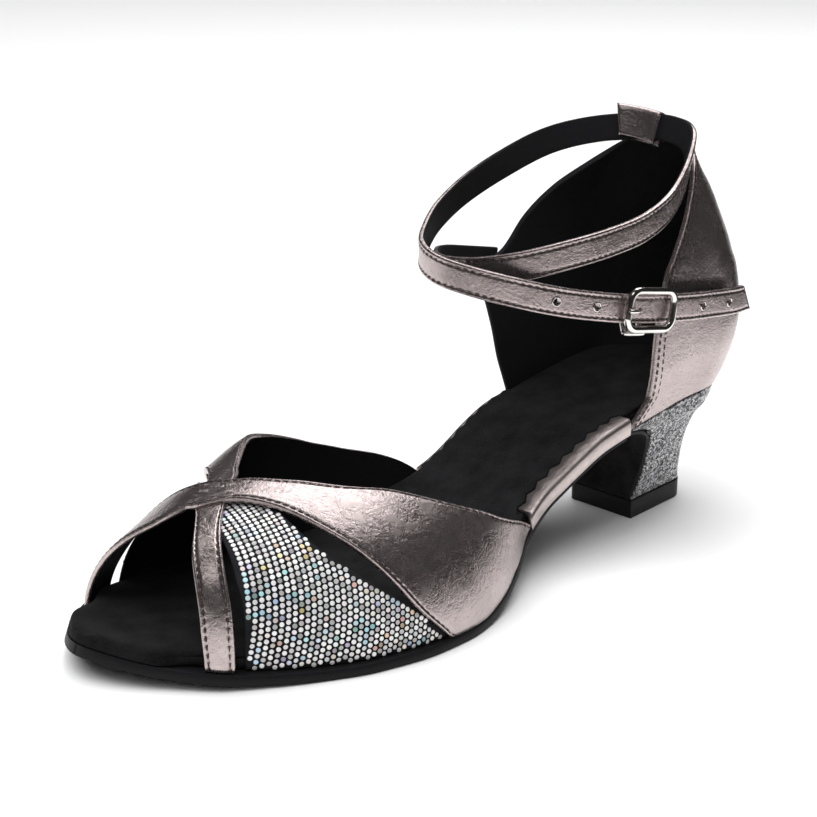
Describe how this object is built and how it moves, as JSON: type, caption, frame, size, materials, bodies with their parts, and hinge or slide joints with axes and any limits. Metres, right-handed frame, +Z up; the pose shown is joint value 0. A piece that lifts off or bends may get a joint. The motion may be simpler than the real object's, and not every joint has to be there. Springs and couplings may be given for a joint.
{
  "type": "ballroom dance shoe",
  "caption": "Low-heeled ladies' ballroom sandal, left foot: crossed metallic vamp straps, glitter side panels, closed heel counter and a long buckled ankle strap.",
  "frame": {"origin": "on the floor under the middle of the heel's top lift", "axes": "toe along -X, outer side of the foot along -Y, up along +Z"},
  "size_m": [0.248, 0.0872, 0.1288],
  "materials": {
    "sole_suede": "black suede",
    "heel_glitter": "fine silver glitter",
    "lift_rubber": "black rubber",
    "board_suede": "black suede",
    "sock_suede": "black suede",
    "foil_leather": "pewter metallic foil, soft grain",
    "panel_glitter": "round glitter dots on black",
    "nickel": "polished nickel"
  },
  "bodies": {
    "root": {"outsole": "sole_suede", "heel_block": "heel_glitter", "top_lift": "lift_rubber", "insole_board": "board_suede", "insole_sock": "sock_suede", "waist_wrap_lateral": "foil_leather", "waist_wrap_medial": "foil_leather", "vamp_straps": "foil_leather", "glitter_panel_lateral": "panel_glitter", "glitter_panel_medial": "panel_glitter", "counter": "foil_leather", "ankle_strap": "foil_leather", "strap_eyelet_0": "nickel", "strap_eyelet_1": "nickel", "strap_eyelet_2": "nickel", "strap_eyelet_3": "nickel", "back_loop": "foil_leather", "buckle_frame": "nickel", "buckle_prong": "nickel", "buckle_hook": "nickel", "buckle_tab": "foil_leather"}
  },
  "joints": []
}
